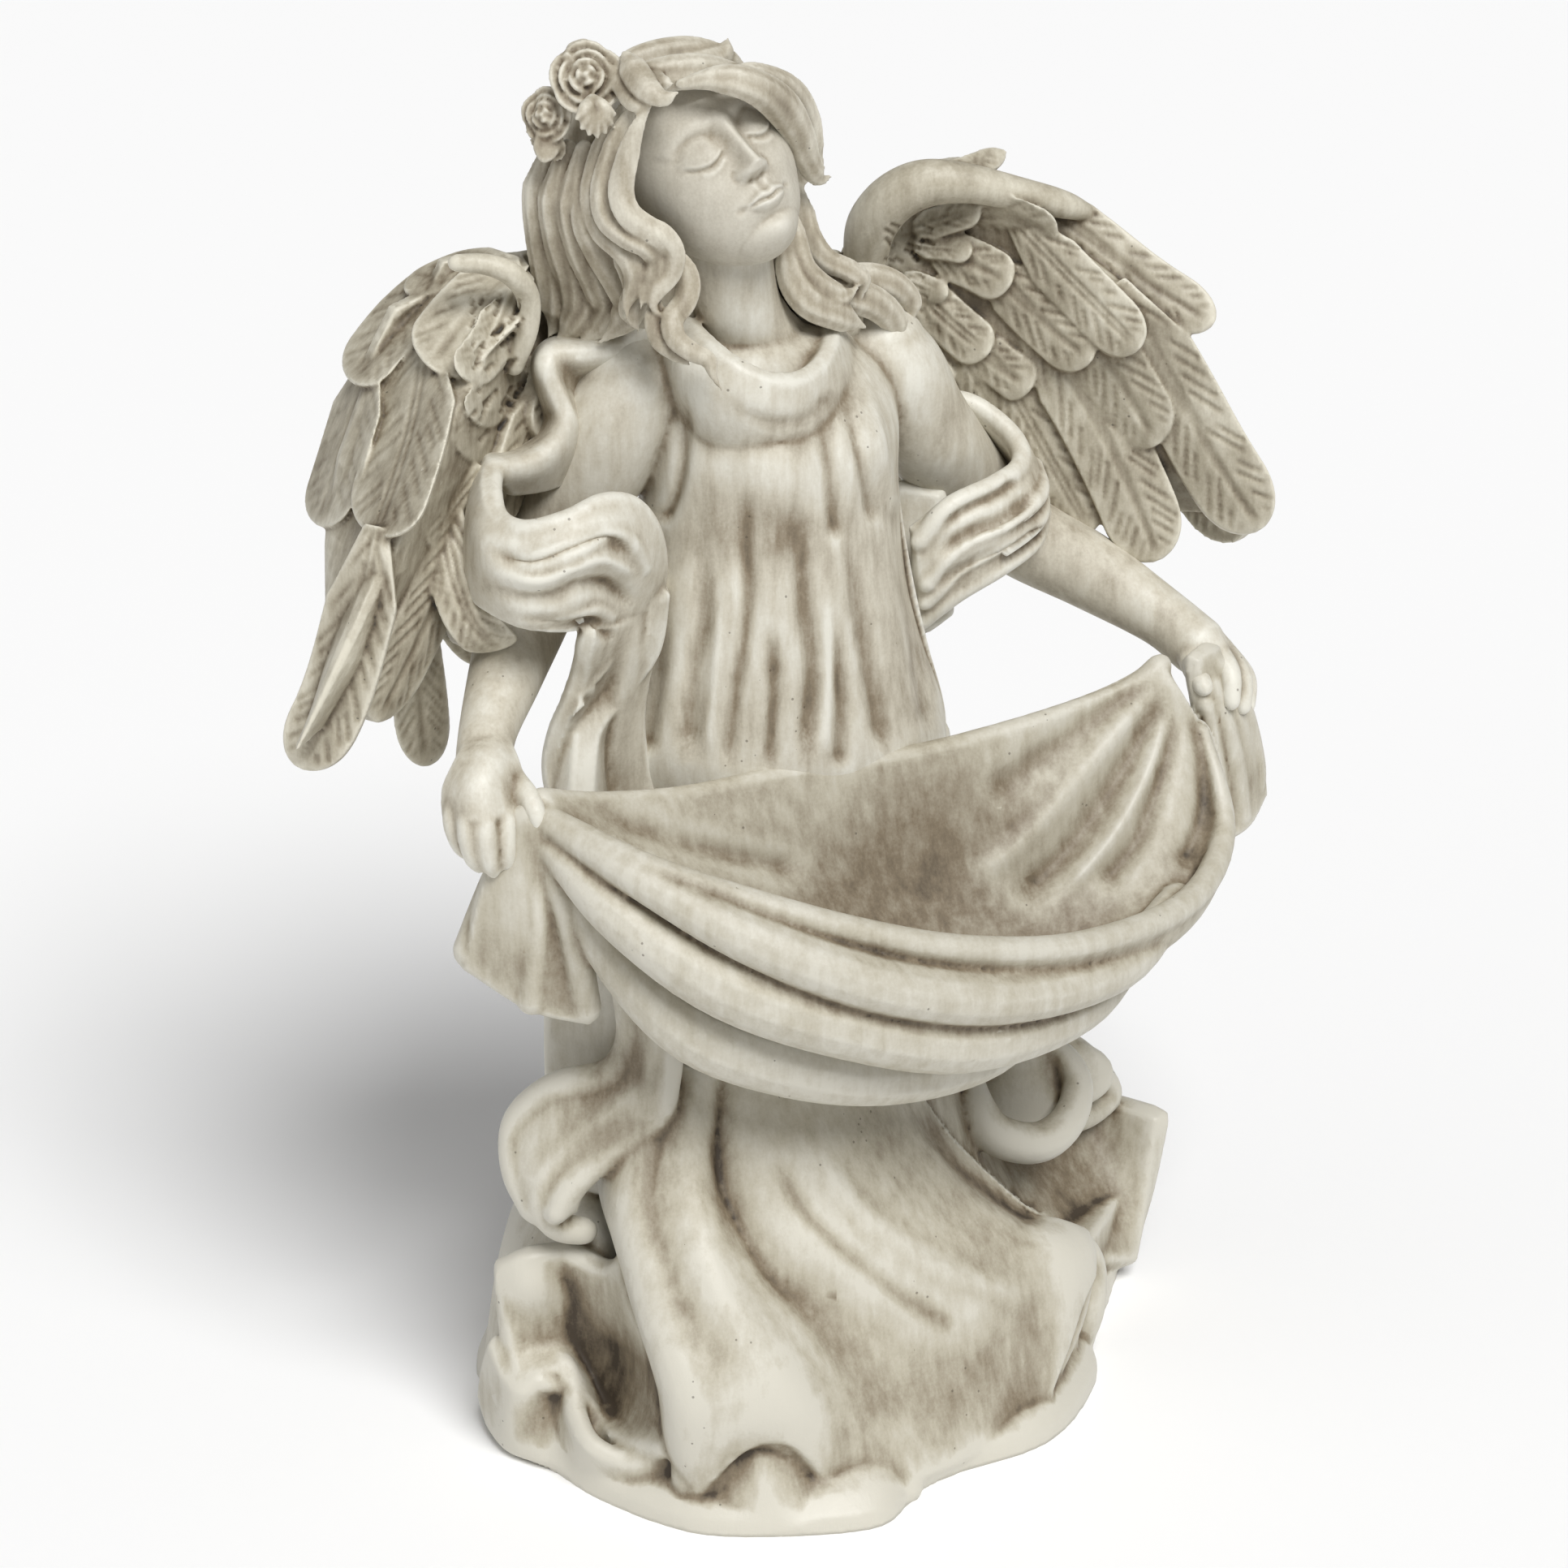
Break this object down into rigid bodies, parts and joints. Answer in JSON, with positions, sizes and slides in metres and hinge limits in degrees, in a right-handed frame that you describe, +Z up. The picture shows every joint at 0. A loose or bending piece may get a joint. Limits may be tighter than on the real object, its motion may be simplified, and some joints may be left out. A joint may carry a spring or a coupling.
{
  "type": "angel garden statue",
  "caption": "Standing angel garden statue whose raised apron is held out as a shallow bowl for seed, water or a small plant; cast stone look.",
  "frame": {"origin": "on the ground, in the middle of the flat underside, under the figure's waist", "axes": "+Z up; the figure faces -Y; her left hand is towards +X"},
  "size_m": [0.3865, 0.244, 0.5028],
  "materials": {
    "cast_resin": "cast resin painted ivory, with a brown-grey wash left in the hollows, satin"
  },
  "bodies": {
    "root": {"angel_statue": "cast_resin"}
  },
  "joints": []
}
